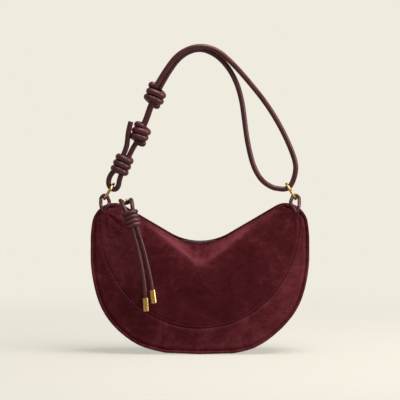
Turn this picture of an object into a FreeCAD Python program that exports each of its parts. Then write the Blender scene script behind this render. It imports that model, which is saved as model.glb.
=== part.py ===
import FreeCAD, Part
import Sketcher
import math
import os

Vector = FreeCAD.Vector
Placement = FreeCAD.Placement
Rotation = FreeCAD.Rotation

# Half-moon shoulder bag of suede with a knotted, rolled leather strap.
# Frame: origin at the middle of the resting face, +Z up, front towards -Y.

# Driving dimensions in millimetres and degrees
SIZES = {
    "body_width": 290,
    "base_length": 86,
    "base_corner_radius": 60,
    "side_straight": 16.7,
    "shoulder_radius": 150,
    "shoulder_lean": 9.7,
    "peak_radius": 28.5,
    "slope_angle": 30.9,
    "dip_radius": 77,
    "base_depth": 72,
    "panel_lean": 7.2,
    "suede_thickness": 1.6,
    "panel_swell": 5,
    "swell_edge_reach": 72,
    "swell_mouth_reach": 62,
    "lining_thickness": 0.8,
    "piping_diameter": 4,
    "seam_gap": 0.3,
    "band_height": 34.3,
    "band_radius": 126,
    "band_angle": 45,
    "band_side_inset": 12,
    "board_thickness": 1.5,
    "board_margin": 3,
    "mouth_angle": 92,
    "zip_drop": 1,
    "zip_end_drop": 1.5,
    "tape_thickness": 1,
    "tooth_pitch": 3.2,
    "tooth_thickness": 1.3,
    "tooth_height": 1.6,
    "tooth_reach": 3.2,
    "tooth_lap": 0.9,
    "stop_length": 1.4,
    "slider_length": 8,
    "slider_width": 8.5,
    "slider_plate": 1.2,
    "slider_play": 0.5,
    "arch_wire": 2.2,
    "arch_leg": 2.4,
    "pull_ring_radius": 6.2,
    "pull_ring_wire": 2,
    "pull_ring_rise": 3.65,
    "pull_cord": 5.5,
    "pull_knot_turns": 1.75,
    "cap_diameter": 8.8,
    "cap_length": 17.7,
    "cap_bore_depth": 9,
    "cap_edge": 1,
    "ring_radius": 11.7,
    "ring_wire": 3.7,
    "ring_lean": 31.7,
    "anchor_angle": 70,
    "anchor_stand": 8,
    "anchor_cord": 4.5,
    "strap_cord": 7,
    "knot_turns": 2.5,
    "winding_gap": 0.6,
    "ring_play": 0.4,
    "strap_play": 1.5,
}

doc = FreeCAD.newDocument("half_moon_bag")
sheet = doc.addObject("Spreadsheet::Sheet", "Sizes")
for row, (alias, number) in enumerate(SIZES.items(), start=1):
    sheet.set(f"A{row}", alias)
    sheet.set(f"B{row}", str(number))
    sheet.setAlias(f"B{row}", alias)
doc.recompute()


def size(alias):
    return float(sheet.get(alias))


nodes = {}


def keep(feature, node):
    feature.Label = node
    nodes[node] = feature
    return feature


def add_shape(node, shape, placement=None):
    feature = keep(doc.addObject("Part::Feature", node), node)
    feature.Shape = shape
    if placement is not None:
        feature.Placement = placement
    return feature


def bind(feature, expressions):
    for name, expression in expressions.items():
        feature.setExpression(name, expression)


# Half-moon outline, drawn in the plane of the front panel (X across, Y up the panel)
half_width = size("body_width") / 2
base_half = size("base_length") / 2
corner_radius = size("base_corner_radius")
shoulder_radius = size("shoulder_radius")
peak_radius = size("peak_radius")
shoulder_lean = size("shoulder_lean")
slope_angle = size("slope_angle")
dip_radius = size("dip_radius")
mouth_angle = size("mouth_angle")

slope = math.radians(slope_angle)
lean = math.radians(shoulder_lean)
belly_centre = Vector(0, corner_radius + math.sqrt((half_width - corner_radius) ** 2 - base_half ** 2), 0)
corner_centre = Vector(base_half, corner_radius, 0)
corner_angle = math.degrees(math.atan2(corner_radius - belly_centre.y, base_half))
side_top = belly_centre.y + size("side_straight")
shoulder_centre = Vector(half_width - shoulder_radius, side_top, 0)
peak_centre = shoulder_centre + Vector(math.cos(lean), math.sin(lean), 0) * (shoulder_radius - peak_radius)
slope_foot = peak_centre + Vector(-math.sin(slope), math.cos(slope), 0) * peak_radius
dip_centre = Vector(0, slope_foot.y - slope_foot.x * math.tan(slope) + dip_radius / math.cos(slope), 0)
panel_top = peak_centre.y + peak_radius


def polar(centre, radius, degrees):
    angle = math.radians(degrees)
    return centre + Vector(math.cos(angle), math.sin(angle), 0) * radius


def arc(centre, radius, start, end):
    middle = (start + end) / 2
    return Part.Arc(*(polar(centre, radius, angle) for angle in (start, middle, end))).toShape()


def line(start, end):
    return Part.LineSegment(start, end).toShape()


def with_mirror(edges):
    return edges + [edge.mirror(Vector(0, 0, 0), Vector(1, 0, 0)) for edge in edges]


def skirt_run(inset, end_angle):
    """Outline from one peak round the base to the other, moved inwards by the inset."""
    side_x = half_width - inset
    half = [
        arc(corner_centre, corner_radius - inset, -90, corner_angle),
        arc(belly_centre, half_width - inset, corner_angle, 0),
        line(Vector(side_x, belly_centre.y, 0), Vector(side_x, side_top, 0)),
        arc(shoulder_centre, shoulder_radius - inset, 0, shoulder_lean),
        arc(peak_centre, peak_radius - inset, shoulder_lean, end_angle),
    ]
    return with_mirror(half) + [line(Vector(-base_half, inset, 0), Vector(base_half, inset, 0))]


def mouth_run(end_angle):
    """Top edge from one peak down through the dip to the other."""
    half = [
        arc(peak_centre, peak_radius, end_angle, 90 + slope_angle),
        line(slope_foot, polar(dip_centre, dip_radius, slope_angle - 90)),
    ]
    dip = arc(dip_centre, dip_radius, slope_angle - 90, -90 - slope_angle)
    return with_mirror(half) + [dip]


def peak_steps(inset_from, inset_to, end_angle):
    step = line(polar(peak_centre, peak_radius - inset_from, end_angle),
                polar(peak_centre, peak_radius - inset_to, end_angle))
    return with_mirror([step])


def closed_face(edges):
    return Part.Face(Part.Wire(Part.__sortEdges__(edges)))


# Planes of the two main panels: they lean together towards the mouth
panel_lean = size("panel_lean")
lean_angle = math.radians(panel_lean)
half_depth = size("base_depth") / 2
front_plane = Placement(Vector(0, -half_depth, 0), Rotation(Vector(1, 0, 0), 90 - panel_lean))
turn_round = Placement(Vector(0, 0, 0), Rotation(Vector(0, 0, 1), 180))
back_plane = turn_round.multiply(front_plane)
PLANES = {"front": front_plane, "back": back_plane}

suede = size("suede_thickness")
lining = size("lining_thickness")
gap = size("seam_gap")
piping_radius = size("piping_diameter") / 2
piping_inset = piping_radius / math.cos(lean_angle)
panel_inset = piping_inset + piping_radius + gap


def panel_height(point):
    """Height above the floor of a point given in the panel's plane."""
    return point.y * math.cos(lean_angle)


def slab(face, thickness, offset):
    solid = face.extrude(Vector(0, 0, thickness))
    solid.translate(Vector(0, 0, offset))
    return solid


def between_panels(inward):
    """Space between the two panel planes, each moved inwards by a distance."""
    def half_space(height):
        return half_depth - height * math.tan(lean_angle) - inward / math.cos(lean_angle)

    bottom = -corner_radius
    top = panel_top + corner_radius
    corners = [
        Vector(-half_width, -half_space(bottom), bottom),
        Vector(-half_width, half_space(bottom), bottom),
        Vector(-half_width, half_space(top), top),
        Vector(-half_width, -half_space(top), top),
    ]
    profile = Part.Face(Part.makePolygon(corners + corners[:1]))
    return profile.extrude(Vector(2 * half_width, 0, 0))


# Front and back panels, each cut in two along the curved seam
band_radius = size("band_radius")
band_turn = math.radians(size("band_angle"))
band_centre = Vector(0, size("band_height") + band_radius, 0)
band_side = half_width - size("band_side_inset")
band_side_radius = (band_side - band_radius * math.sin(band_turn)) / (1 - math.sin(band_turn))
band_side_centre = polar(band_centre, band_radius - band_side_radius, size("band_angle") - 90)


def above_seam(margin):
    """Block that covers everything above the curved seam, drawn in by a margin."""
    side_x = band_side - margin
    top = panel_top + corner_radius
    half = [
        arc(band_side_centre, band_side_radius - margin, size("band_angle") - 90, 0),
        line(Vector(side_x, band_side_centre.y, 0), Vector(side_x, top, 0)),
    ]
    bottom = arc(band_centre, band_radius - margin, size("band_angle") - 90, -90 - size("band_angle"))
    lid = line(Vector(-side_x, top, 0), Vector(side_x, top, 0))
    return slab(closed_face(with_mirror(half) + [bottom, lid]), 2 * swell_room, -swell_room)


# Full panels swell outwards: nothing at their edges and most in the middle
SWELL_COLUMNS = 25
SWELL_ROWS = 15
panel_swell = size("panel_swell")
swell_room = panel_swell + 2 * suede
panel_face = closed_face(skirt_run(panel_inset, mouth_angle) + peak_steps(panel_inset, 0, mouth_angle)
                         + mouth_run(mouth_angle))
panel_edge = Part.Wire(Part.__sortEdges__(skirt_run(panel_inset, mouth_angle)))
mouth_edge = Part.Wire(Part.__sortEdges__(mouth_run(mouth_angle)))


def ease(share):
    share = min(max(share, 0), 1)
    return share * share * (3 - 2 * share)


def swell_point(column, row):
    """Point of the swollen panel, over a grid that covers its outline."""
    point = Vector(half_width * (2 * column / (SWELL_COLUMNS - 1) - 1), panel_top * row / (SWELL_ROWS - 1), 0)
    to_edge = panel_edge.distToShape(Part.Vertex(point))[0]
    to_mouth = mouth_edge.distToShape(Part.Vertex(point))[0]
    if not panel_face.isInside(point, gap, True):
        if to_edge < to_mouth:
            to_edge = -to_edge
        else:
            to_mouth = 0
    reach = min(max(to_edge / size("swell_edge_reach"), -1), 1)
    rise = math.sin(math.pi / 2 * reach) * ease(to_mouth / size("swell_mouth_reach"))
    return point + Vector(0, 0, panel_swell * rise)


swell_sheet = Part.BSplineSurface()
swell_sheet.interpolate([[swell_point(column, row) for row in range(SWELL_ROWS)]
                         for column in range(SWELL_COLUMNS)])
panel = slab(swell_sheet.toShape(), suede, -suede / 2).common(slab(panel_face, 2 * swell_room, -swell_room))
upper_panel = panel.common(above_seam(gap / 2))
lower_band = panel.cut(above_seam(-gap / 2))

piping_end = mouth_angle - math.degrees(gap / (peak_radius - piping_inset))
piping_path = Part.Wire(Part.__sortEdges__(skirt_run(piping_inset, piping_end)))
piping_start = piping_path.OrderedVertexes[0].Point
piping_tangent = piping_path.OrderedEdges[0].tangentAt(piping_path.OrderedEdges[0].FirstParameter)
piping_ring = Part.Wire(Part.Circle(piping_start, piping_tangent, piping_radius).toShape())
piping = piping_path.makePipeShell([piping_ring], True, False)

for side, plane in PLANES.items():
    add_shape(f"{side}_upper_panel", upper_panel, plane)
    add_shape(f"{side}_lower_band", lower_band, plane)
    add_shape(f"{side}_piping", piping, plane)


# Gusset, base board and lining
def skirt_strip(inset, thickness, inward):
    """Strip that follows the outline at an inset and spans the depth of the bag."""
    edges = (skirt_run(inset, mouth_angle) + skirt_run(inset + thickness, mouth_angle)
             + peak_steps(inset, inset + thickness, mouth_angle))
    face = closed_face(edges)
    face.Placement = front_plane
    return face.extrude(Vector(0, 2 * half_depth, 0)).common(between_panels(inward))


gusset_inward = piping_radius + gap
gusset = skirt_strip(0, suede, gusset_inward)

board_gap = size("board_thickness") + 2 * gap
lining_inset = suede + board_gap
lining_inward = suede / 2 + gap
add_shape("gusset_lining", skirt_strip(lining_inset, lining, lining_inward + lining + gap))

board = keep(doc.addObject("Part::Box", "base_stiffener"), "base_stiffener")
bind(board, {
    "Length": "Sizes.base_length - 2 * Sizes.board_margin",
    "Width": "Sizes.base_depth - 2 * Sizes.piping_diameter - 2 * Sizes.board_margin",
    "Height": "Sizes.board_thickness",
    "Placement.Base.x": "-Sizes.base_length / 2 + Sizes.board_margin",
    "Placement.Base.y": "-Sizes.base_depth / 2 + Sizes.piping_diameter + Sizes.board_margin",
    "Placement.Base.z": "Sizes.suede_thickness + Sizes.seam_gap",
})

# Zip: it follows one arc about a Y axis, from peak to peak
mouth_end = polar(peak_centre, peak_radius, mouth_angle)
zip_bottom = panel_height(dip_centre) - dip_radius * math.cos(lean_angle) - size("zip_drop")
zip_rise = panel_height(mouth_end) - size("zip_end_drop") - zip_bottom
zip_radius = (mouth_end.x ** 2 + zip_rise ** 2) / (2 * zip_rise)
zip_centre = Vector(0, 0, zip_bottom + zip_radius)
tape_angle = math.degrees(math.asin((mouth_end.x - gap) / zip_radius))
tape = size("tape_thickness")
tooth_height = size("tooth_height")


def along_zip(length):
    """Angle on the zip's arc for a length along it."""
    return math.degrees(length / zip_radius)


def zip_place(degrees, rise=0):
    """Place on the zip: X along the chain, Y across it, Z away from the inside of the bag."""
    angle = math.radians(degrees)
    base = zip_centre + Vector(math.sin(angle), 0, -math.cos(angle)) * (zip_radius - rise)
    return Placement(base, Rotation(Vector(0, 1, 0), -degrees))


def zip_sector(inner, outer, half_angle, y_from, y_to):
    low = -90 - half_angle
    high = -90 + half_angle
    middle = Vector(0, 0, 0)
    edges = [arc(middle, inner, low, high), arc(middle, outer, low, high)]
    edges += [line(polar(middle, inner, end), polar(middle, outer, end)) for end in (low, high)]
    face = closed_face(edges)
    face.Placement = Placement(zip_centre + Vector(0, y_to, 0), Rotation(Vector(1, 0, 0), 90))
    return face.extrude(Vector(0, y_from - y_to, 0))


tape_edge = size("tooth_reach") + gap
tape_strip = zip_sector(zip_radius - tape / 2, zip_radius + tape / 2, tape_angle, -half_depth, -tape_edge)
tape_front = tape_strip.common(between_panels(lining_inward))
add_shape("zip_tape_front", tape_front)
add_shape("zip_tape_back", tape_front, turn_round)

# Lining panels hang under the tapes
TRIM_HALF_ANGLE = 89
lining_outline = (skirt_run(lining_inset + lining + gap, mouth_angle)
                  + peak_steps(lining_inset + lining + gap, 0, mouth_angle) + mouth_run(mouth_angle))
lining_sheet = slab(closed_face(lining_outline), lining, -lining_inward - lining)
lining_sheet.Placement = front_plane.multiply(lining_sheet.Placement)
above_tape = zip_sector(gap, zip_radius + tape / 2 + gap, TRIM_HALF_ANGLE, -half_depth, half_depth)
lining_panel = lining_sheet.cut(above_tape)
add_shape("front_lining", lining_panel)
add_shape("back_lining", lining_panel, turn_round)

stop_length = size("stop_length")
slider_length = size("slider_length")
slider_angle = -(tape_angle - along_zip(2 * gap + stop_length + slider_length / 2))
tooth_start = slider_angle + along_zip(size("tooth_thickness"))
bottom_stop_angle = tape_angle - along_zip(gap + stop_length)
tooth_end = bottom_stop_angle - along_zip(stop_length + size("tooth_thickness"))
tooth_step = along_zip(size("tooth_pitch"))


def tooth_row(start, y_from, y_to):
    teeth = []
    count = int((tooth_end - start) / tooth_step) + 1
    thick = size("tooth_thickness")
    for number in range(count):
        corner = Vector(-thick / 2, y_from, -tooth_height / 2)
        tooth = Part.makeBox(thick, y_to - y_from, tooth_height, corner)
        tooth.Placement = zip_place(start + number * tooth_step)
        teeth.append(tooth)
    return Part.makeCompound(teeth)


add_shape("zip_teeth_front", tooth_row(tooth_start, -size("tooth_reach"), size("tooth_lap")))
add_shape("zip_teeth_back", tooth_row(tooth_start + tooth_step / 2, -size("tooth_lap"), size("tooth_reach")))


def stop_block(length, y_from, y_to, angle):
    block = Part.makeBox(length, y_to - y_from, tooth_height, Vector(-length / 2, y_from, -tooth_height / 2))
    block.Placement = zip_place(angle)
    return block


top_stop_angle = -(tape_angle - along_zip(gap + stop_length / 2))
top_stops = [stop_block(stop_length, low, low + size("tooth_reach") - size("tooth_lap"), top_stop_angle)
             for low in (-size("tooth_reach"), size("tooth_lap"))]
add_shape("zip_top_stops", Part.makeCompound(top_stops))
add_shape("zip_bottom_stop", stop_block(2 * stop_length, -size("tooth_reach"), size("tooth_reach"),
                                        bottom_stop_angle))

# Slider: two plates joined by a web at the nose, with an arched bridge on top
PLATE_LEVEL = "(Sizes.tooth_height / 2 + Sizes.slider_play)"


def slider_box(name, length, width, height, base):
    box = doc.addObject("Part::Box", name)
    expressions = {"Length": length, "Width": width, "Height": height}
    expressions.update({f"Placement.Base.{axis}": text for axis, text in zip("xyz", base)})
    bind(box, expressions)
    return box


plate_corner = ("-Sizes.slider_length / 2", "-Sizes.slider_width / 2")
slider_parts = [
    slider_box("slider_top", "Sizes.slider_length", "Sizes.slider_width", "Sizes.slider_plate",
               plate_corner + (PLATE_LEVEL,)),
    slider_box("slider_bottom", "Sizes.slider_length", "Sizes.slider_width", "Sizes.slider_plate",
               plate_corner + (f"-{PLATE_LEVEL} - Sizes.slider_plate",)),
    slider_box("slider_web", "Sizes.slider_length / 4", "2 * Sizes.tooth_lap", f"2 * {PLATE_LEVEL}",
               ("-Sizes.slider_length / 2", "-Sizes.tooth_lap", f"-{PLATE_LEVEL}")),
]
LEG_FOOT = f"{PLATE_LEVEL} + Sizes.slider_plate / 2"
LEG_TOP = f"{PLATE_LEVEL} + Sizes.slider_plate + Sizes.arch_leg"
for sign, name in (("-", "arch_leg_left"), ("", "arch_leg_right")):
    leg = doc.addObject("Part::Cylinder", name)
    bind(leg, {
        "Radius": "Sizes.arch_wire / 2",
        "Height": "Sizes.arch_leg + Sizes.slider_plate / 2",
        "Placement.Base.x": f"{sign}(Sizes.slider_length - Sizes.arch_wire) / 2",
        "Placement.Base.z": LEG_FOOT,
    })
    slider_parts.append(leg)
arch = doc.addObject("Part::Torus", "arch_bow")
arch.Angle3 = 180
arch.Placement = Placement(Vector(0, 0, 0), Rotation(Vector(1, 0, 0), 90))
bind(arch, {
    "Radius1": "(Sizes.slider_length - Sizes.arch_wire) / 2",
    "Radius2": "Sizes.arch_wire / 2",
    "Placement.Base.z": LEG_TOP,
})
slider_parts.append(arch)
slider = keep(doc.addObject("Part::MultiFuse", "zip_slider"), "zip_slider")
slider.Shapes = slider_parts
slider.Placement = zip_place(slider_angle)
doc.recompute()

arch_bow_radius = (slider_length - size("arch_wire")) / 2
bridge_rise = (tooth_height / 2 + size("slider_play") + size("slider_plate") + size("arch_leg")
               + arch_bow_radius)
bridge = zip_place(slider_angle, bridge_rise)
bridge_point = bridge.Base
chain_direction = bridge.Rotation.multVec(Vector(1, 0, 0))

# Small ring on the bridge, leaning forwards above where it would rest on the slider or the front edge
play = size("ring_play")
chain_up = bridge.Rotation.multVec(Vector(0, 0, 1))
edge_cut = nodes["front_upper_panel"].Shape.slice(chain_direction, chain_direction.dot(bridge_point))
edge_corners = [vertex.Point for wire in edge_cut for vertex in wire.Vertexes]
to_edge = min(edge_corners, key=bridge_point.distanceToPoint) - bridge_point
to_plate = Vector(0, -size("slider_width") / 2, 0) - chain_up * (size("arch_leg") + arch_bow_radius)
pull_ring_shift = size("pull_ring_radius") - (size("pull_ring_wire") + size("arch_wire")) / 2 - play
pull_ring_reach = size("pull_ring_radius") + size("pull_ring_wire") / 2 + play


def rest_on(corner):
    """Lean at which the ring meets a corner, given from the bridge."""
    closeness = ((corner.Length ** 2 + pull_ring_shift ** 2 - pull_ring_reach ** 2)
                 / (2 * pull_ring_shift * corner.Length))
    return math.atan2(corner.dot(chain_up), -corner.y) + (math.acos(closeness) if closeness < 1 else 0)


rest_angle = max(rest_on(to_edge), rest_on(to_plate))
rise = rest_angle + math.radians(size("pull_ring_rise"))
pull_lean = Vector(0, -math.cos(rise), 0) + chain_up * math.sin(rise)
pull_ring_centre = bridge_point + pull_lean * pull_ring_shift
pull_ring = keep(doc.addObject("Part::Torus", "pull_ring"), "pull_ring")
bind(pull_ring, {"Radius1": "Sizes.pull_ring_radius", "Radius2": "Sizes.pull_ring_wire / 2"})
pull_ring.Placement = Placement(pull_ring_centre, Rotation(Vector(0, 0, 1), chain_direction))
pull_ring_far = pull_ring_centre + pull_lean * size("pull_ring_radius")


# Cords: straight runs joined by tangent arcs, each taking a share of the shorter run beside it
BEND_SHARE = 0.45
SAME_POINT = 1e-6


def route(points):
    """Edges along the points. A point may carry its own radius as a fourth number."""
    places = [Vector(*point[:3]) for point in points]
    edges = []
    radii = []
    start = places[0]
    for index in range(1, len(places) - 1):
        corner = places[index]
        into = (corner - places[index - 1]).normalize()
        out = (places[index + 1] - corner).normalize()
        half_turn = into.getAngle(out) / 2
        shorter = min(corner.distanceToPoint(places[index - 1]), corner.distanceToPoint(places[index + 1]))
        given = len(points[index]) > 3
        radius = points[index][3] if given else BEND_SHARE * shorter / math.tan(half_turn)
        setback = radius * math.tan(half_turn)
        first = corner - into * setback
        last = corner + out * setback
        bisector = (out - into).normalize()
        middle = corner + bisector * (radius / math.cos(half_turn) - radius)
        if first.distanceToPoint(start) > SAME_POINT:
            edges.append(line(start, first))
        edges.append(Part.Arc(first, middle, last).toShape())
        radii.append(radius)
        start = last
    edges.append(line(start, places[-1]))
    return edges, radii


def tube(name, edges, diameter):
    path = Part.Wire(edges)
    first = edges[0]
    tangent = first.tangentAt(first.FirstParameter)
    begin = first.valueAt(first.FirstParameter)
    ring = Part.Wire(Part.Circle(begin, tangent, diameter / 2).toShape())
    solid = path.makePipeShell([ring], True, False)
    expected = math.pi * diameter ** 2 / 4 * path.Length
    print(f"{name}: length {path.Length:.1f} mm, volume ratio {solid.Volume / expected:.4f}")
    return solid


def add_cord(node, points, diameter):
    edges, radii = route(points)
    solid = tube(node, edges, diameter)
    if radii:
        print(f"  radii {[round(radius, 1) for radius in radii]}")
    return add_shape(node, solid)


def wrap(centre, radius, from_point, to_point, turns, side):
    """Corners of a cord that goes round a bar of the X-Z view, as seen from the front."""
    def tangent_angle(point, sign):
        away = point - centre
        return math.atan2(away.z, away.x) + sign * math.acos(radius / math.hypot(away.x, away.z))

    start = tangent_angle(from_point, side)
    end = tangent_angle(to_point, -side)
    turn = (end - start) * side % (2 * math.pi)
    step = turn / turns
    reach = radius / math.cos(step / 2)
    corners = []
    for number in range(turns):
        angle = start + side * step * (number + 0.5)
        corner = centre + Vector(math.cos(angle), 0, math.sin(angle)) * reach
        corners.append(tuple(corner) + (radius,))
    return corners


# Windings: each knot is one cord wound about the strands that it holds
def biarc(start, start_tangent, end, end_tangent):
    across = end - start
    tangents = start_tangent + end_tangent
    spread = 2 - 2 * start_tangent.dot(end_tangent)
    along = across.dot(tangents)
    reach = (math.sqrt(along ** 2 + spread * across.dot(across)) - along) / spread
    first_corner = start + start_tangent * reach
    last_corner = end - end_tangent * reach
    joint = (first_corner + last_corner) * 0.5
    edges = []
    for begin, corner, finish in ((start, first_corner, joint), (joint, last_corner, end)):
        chord_middle = (begin + finish) * 0.5
        half_chord = (finish - begin).Length / 2
        height = (corner - chord_middle).Length
        radius = reach * half_chord / height
        sagitta = radius * (1 - half_chord / reach)
        middle = chord_middle + (corner - chord_middle).normalize() * sagitta
        edges.append(Part.Arc(begin, middle, finish).toShape())
    return edges


QUARTERS = 4
GAP_SAMPLES = 48


def winding(node, centre, axis, radius, turns, diameter, start_angle):
    pitch = (diameter + size("winding_gap")) / math.cos(math.atan(diameter / (2 * math.pi * radius)))
    side = axis.cross(Vector(0, 1, 0)).normalize()
    front = axis.cross(side).normalize()

    def place(turn):
        angle = math.radians(start_angle) + 2 * math.pi * turn
        round_axis = side * math.cos(angle) + front * math.sin(angle)
        return centre + axis * (pitch * (turn - turns / 2)) + round_axis * radius

    def heading(turn):
        angle = math.radians(start_angle) + 2 * math.pi * turn
        round_axis = front * math.cos(angle) - side * math.sin(angle)
        return (round_axis * (2 * math.pi * radius) + axis * pitch).normalize()

    steps = int(turns * QUARTERS)
    edges = [line(place(0) - heading(0) * diameter, place(0))]
    for number in range(steps):
        begin = number / QUARTERS
        finish = (number + 1) / QUARTERS
        edges += biarc(place(begin), heading(begin), place(finish), heading(finish))
    edges.append(line(place(turns), place(turns) + heading(turns) * diameter))
    samples = [place(number / GAP_SAMPLES) for number in range(int(turns * GAP_SAMPLES) + 1)]
    least = min(samples[first].distanceToPoint(samples[second])
                for first in range(len(samples))
                for second in range(first + GAP_SAMPLES // 2, len(samples)))
    print(f"{node}: least gap to itself {least - diameter:.2f} mm")
    return add_shape(node, tube(node, edges, diameter))


# Strap rings in leather loops at the two upper corners
strap_cord = size("strap_cord")
anchor_cord = size("anchor_cord")
ring_radius = size("ring_radius")
peak_point = Vector(peak_centre.x, 0, panel_height(peak_centre))
anchor_hole_cutters = []
strap_slack = size("strap_play") - gap
bight_centres = {}
hinge_heights = {}
for side, sign in (("left", -1), ("right", 1)):
    tilt = math.radians(size("anchor_angle"))
    outward = Vector(sign * math.cos(tilt), 0, math.sin(tilt))
    across = Vector(outward.z, 0, -outward.x)
    corner = Vector(sign * peak_point.x, 0, peak_point.z)
    ring_foot = corner + outward * (peak_radius + size("anchor_stand"))
    bow = (size("ring_wire") + anchor_cord) / 2 + play
    root = peak_radius - lining_inset + gap
    leg_length = peak_radius + size("anchor_stand") - root
    legs = [ring_foot + across * (bow * hand) - outward * leg_length for hand in (-1, 1)]
    tops = [leg + outward * leg_length for leg in legs]
    loop_edges = [
        line(legs[0], tops[0]),
        Part.Arc(tops[0], ring_foot + outward * bow, tops[1]).toShape(),
        line(tops[1], legs[1]),
    ]
    add_shape(f"anchor_loop_{side}", tube(f"anchor_loop_{side}", loop_edges, anchor_cord))
    for leg in legs:
        hole = Part.makeCylinder(anchor_cord / 2 + gap, leg_length, leg - outward, outward)
        anchor_hole_cutters.append(hole)
    ring_tilt = math.radians(size("ring_lean"))
    ring_up = Vector(-sign * math.sin(ring_tilt), 0, math.cos(ring_tilt))
    ring_centre = ring_foot + ring_up * ring_radius
    ring = keep(doc.addObject("Part::Torus", f"ring_{side}"), f"ring_{side}")
    bind(ring, {"Radius1": "Sizes.ring_radius", "Radius2": "Sizes.ring_wire / 2"})
    ring.Placement = Placement(ring_centre, Rotation(Vector(0, 0, 1), Vector(ring_up.z, 0, -ring_up.x)))
    bight_centres[side] = ring_centre + ring_up * (ring_radius + strap_slack)
    hinge_heights[side] = (ring_foot + outward * bow).z
add_shape("gusset", gusset.cut(anchor_hole_cutters))

# Strap: the routes are chosen by eye along the middle of the cord
bight = (size("ring_wire") + strap_cord) / 2 + size("strap_play")
knot_radius = strap_cord + gap
knot_turns = size("knot_turns")
knot_half = (knot_turns + 1) * (strap_cord + size("winding_gap")) / 2 + gap
strand_side = strap_cord / 2 + gap


def leaning(degrees):
    angle = math.radians(degrees)
    return Vector(math.sin(angle), 0, math.cos(angle))


KNOTS = {
    "upper": (Vector(-59.3, 0, 342), leaning(23), 200),
    "middle": (Vector(-77.8, 0, 294.6), leaning(22), 160),
    "lower": (Vector(-100.2, 0, 256.4), leaning(25), 230),
}
for name, (centre, axis, start_angle) in KNOTS.items():
    winding(f"strap_knot_{name}", centre, axis, knot_radius, knot_turns, strap_cord, start_angle)


def knot_point(name, along, beside=0, depth=0):
    """Point by a knot: along its axis, beside it in the front view, and in depth."""
    centre, axis, _ = KNOTS[name]
    return centre + axis * along + Vector(axis.z, 0, -axis.x) * beside + Vector(0, depth, 0)


# Where each strand stops, from the flat end of the knot's winding
STRAND_SEATS = {"loop": 0.4, "lower_link": -4.3, "tail": 0.5, "eye": 0.6}
PULL_SEATS = {"loop": -0.3, "left": -4.2, "right": -0.9}
STRAND_DEPTH = 2.6
OUTER_STRAND = [
    (-46, -2.6, 376), (-28, -2.6, 398.5), (-3, -2.6, 408), (22, -2.6, 402.5), (44.5, -2.4, 382.5),
    (66, -2, 358), (87, -1.6, 332), (105, -1.2, 303.5), (119, -0.8, 275), (128, -0.3, 250), (126.5, 0, 235),
]
INNER_STRAND = [
    (97, 0, 218.2), (83, 0.4, 226.5), (72.5, 0.8, 243), (66.5, 1.2, 263), (61.8, 1.6, 287), (58.8, 2, 311),
    (55.5, 2.2, 335), (48.5, 2.4, 359), (37, 2.6, 379.5), (20.5, 2.6, 395), (-1, 2.6, 402), (-22, 2.6, 393.5),
    (-39, 2.6, 373.5),
]
loop_seat = knot_half + STRAND_SEATS["loop"]
loop_start = knot_point("upper", loop_seat, -strand_side, -STRAND_DEPTH)
loop_end = knot_point("upper", loop_seat, strand_side, STRAND_DEPTH)
right_bight = wrap(bight_centres["right"], bight, Vector(*OUTER_STRAND[-1]), Vector(*INNER_STRAND[0]), 2, -1)
add_cord("strap_loop", [tuple(loop_start)] + OUTER_STRAND + right_bight + INNER_STRAND + [tuple(loop_end)],
         strap_cord)

LINK_ENTRY = 6
LINK_EXIT = 19
LOWER_LINK_ENTRY = 4
LOWER_LINK_EXIT = 17
upper_link = [knot_point("middle", LINK_ENTRY), knot_point("middle", LINK_EXIT),
              knot_point("upper", -LINK_EXIT), knot_point("upper", -LINK_ENTRY)]
add_cord("strap_link_upper", [tuple(point) for point in upper_link], strap_cord)
lower_link = [knot_point("lower", knot_half + STRAND_SEATS["lower_link"], strand_side),
              knot_point("middle", -LOWER_LINK_EXIT), knot_point("middle", -LOWER_LINK_ENTRY)]
add_cord("strap_link_lower", [tuple(point) for point in lower_link], strap_cord)

TAIL_ROUTE = [(-96.2, -3.5, 282), (-95, -5.5, 294.5), (-91.6, -6, 306.4)]
tail_start = knot_point("lower", knot_half + STRAND_SEATS["tail"], -strand_side)
add_cord("strap_tail", [tuple(tail_start)] + TAIL_ROUTE, strap_cord)

eye_seat = -knot_half - STRAND_SEATS["eye"]
eye_start = knot_point("lower", eye_seat, -strand_side)
eye_end = knot_point("lower", eye_seat, strand_side)
left_bight = wrap(bight_centres["left"], bight, eye_start, eye_end, 3, 1)
add_cord("strap_eye", [tuple(eye_start)] + left_bight + [tuple(eye_end)], strap_cord)

# Leather zip pull: a loop through the small ring, a knot, and two tails with brass caps
pull_cord = size("pull_cord")
PULL_KNOT_CENTRE = Vector(-89.5, -31, 178.5)
PULL_KNOT_START = 110
PULL_KNOT_AXIS = Vector(-0.24, 0.14, 0.96).normalize()
winding("pull_knot", PULL_KNOT_CENTRE, PULL_KNOT_AXIS, pull_cord + gap, size("pull_knot_turns"),
        pull_cord, PULL_KNOT_START)
pull_knot_half = (size("pull_knot_turns") + 1) * (pull_cord + size("winding_gap")) / 2 + gap
pull_beside = Vector(PULL_KNOT_AXIS.z, 0, -PULL_KNOT_AXIS.x).normalize() * (pull_cord / 2 + gap)

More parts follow.
